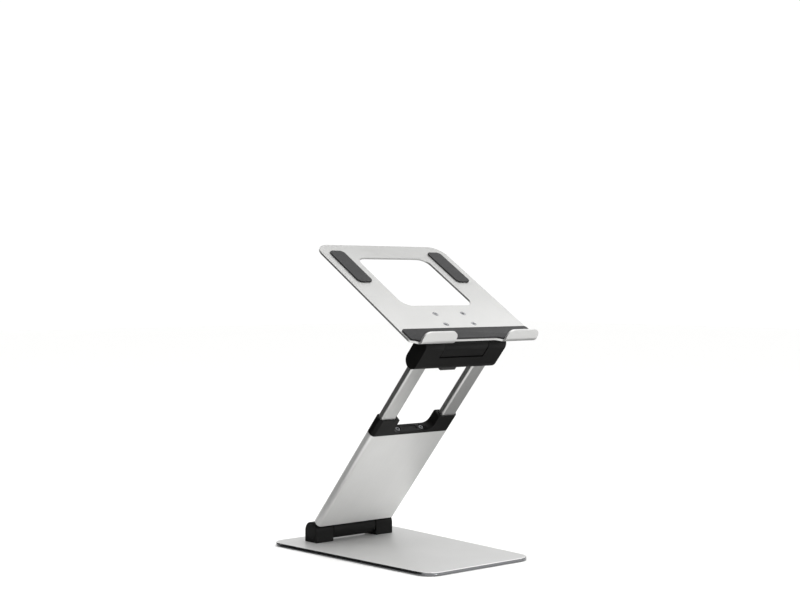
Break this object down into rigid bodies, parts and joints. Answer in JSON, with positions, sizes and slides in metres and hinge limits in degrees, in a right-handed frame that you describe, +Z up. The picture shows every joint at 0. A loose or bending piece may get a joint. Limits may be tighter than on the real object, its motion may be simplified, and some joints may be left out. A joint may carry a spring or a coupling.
{
  "type": "laptop stand",
  "caption": "Desk stand for a laptop: a flat tapered base, a leaning telescopic arm with friction hinges at both ends, and a tilting tray with front lips.",
  "frame": {"origin": "middle of the base on the table, in the plane of the pad under the base", "axes": "+Z up, +X to the right of the user who sits at -Y, +Y away from the user"},
  "size_m": [0.202, 0.2878, 0.3751],
  "materials": {
    "aluminium": "bead-blasted, clear anodised",
    "black_casting": "die casting, matte black powder coat",
    "black_plastic": "moulded, fine texture",
    "silicone": "matte silicone",
    "steel": "plated, bright",
    "bronze": "sintered bronze",
    "acetal": "natural acetal",
    "anchor_metal": "as cast"
  },
  "bodies": {
    "base": {"base_plate": "aluminium", "base_pad": "silicone", "hinge_block_left": "black_casting", "hinge_block_right": "black_casting", "block_screws": "steel", "lower_bushes": "bronze", "lower_caps": "black_plastic"},
    "arm": {"arm_foot": "black_casting", "lower_pins": "steel", "lower_disc_springs": "steel", "lower_washers": "steel", "lower_nuts": "steel", "sleeve": "aluminium", "sleeve_screws": "steel", "collar": "black_plastic", "collar_anchor": "anchor_metal", "collar_screws": "steel", "brake_shoes": "acetal", "leaf_springs": "steel"},
    "rails": {"rail_left": "aluminium", "rail_right": "aluminium", "rail_sliders": "acetal", "head": "black_casting", "head_bumper": "silicone", "head_screws": "steel", "upper_bushes": "bronze", "upper_caps": "black_plastic"},
    "tray": {"tray_knuckle": "black_casting", "upper_pins": "steel", "upper_disc_springs": "steel", "upper_washers": "steel", "upper_nuts": "steel", "tray_plate": "aluminium", "tray_screws": "steel", "front_liner": "silicone", "rear_pads": "silicone"}
  },
  "joints": [
    {"name": "arm_tilt", "type": "hinge", "parent": "base", "child": "arm", "pos_m": [0, 0.1032, 0.0182], "axis": [1, 0, 0], "range_deg": [-50, 48]},
    {"name": "rail_slide", "type": "slide", "parent": "arm", "child": "rails", "axis": [0, -0.6541, 0.7564], "range_m": [-0.081, 0.024]},
    {"name": "tray_tilt", "type": "hinge", "parent": "rails", "child": "tray", "pos_m": [0, -0.1054, 0.25822], "axis": [1, 0, 0], "range_deg": [-81, 4]}
  ]
}
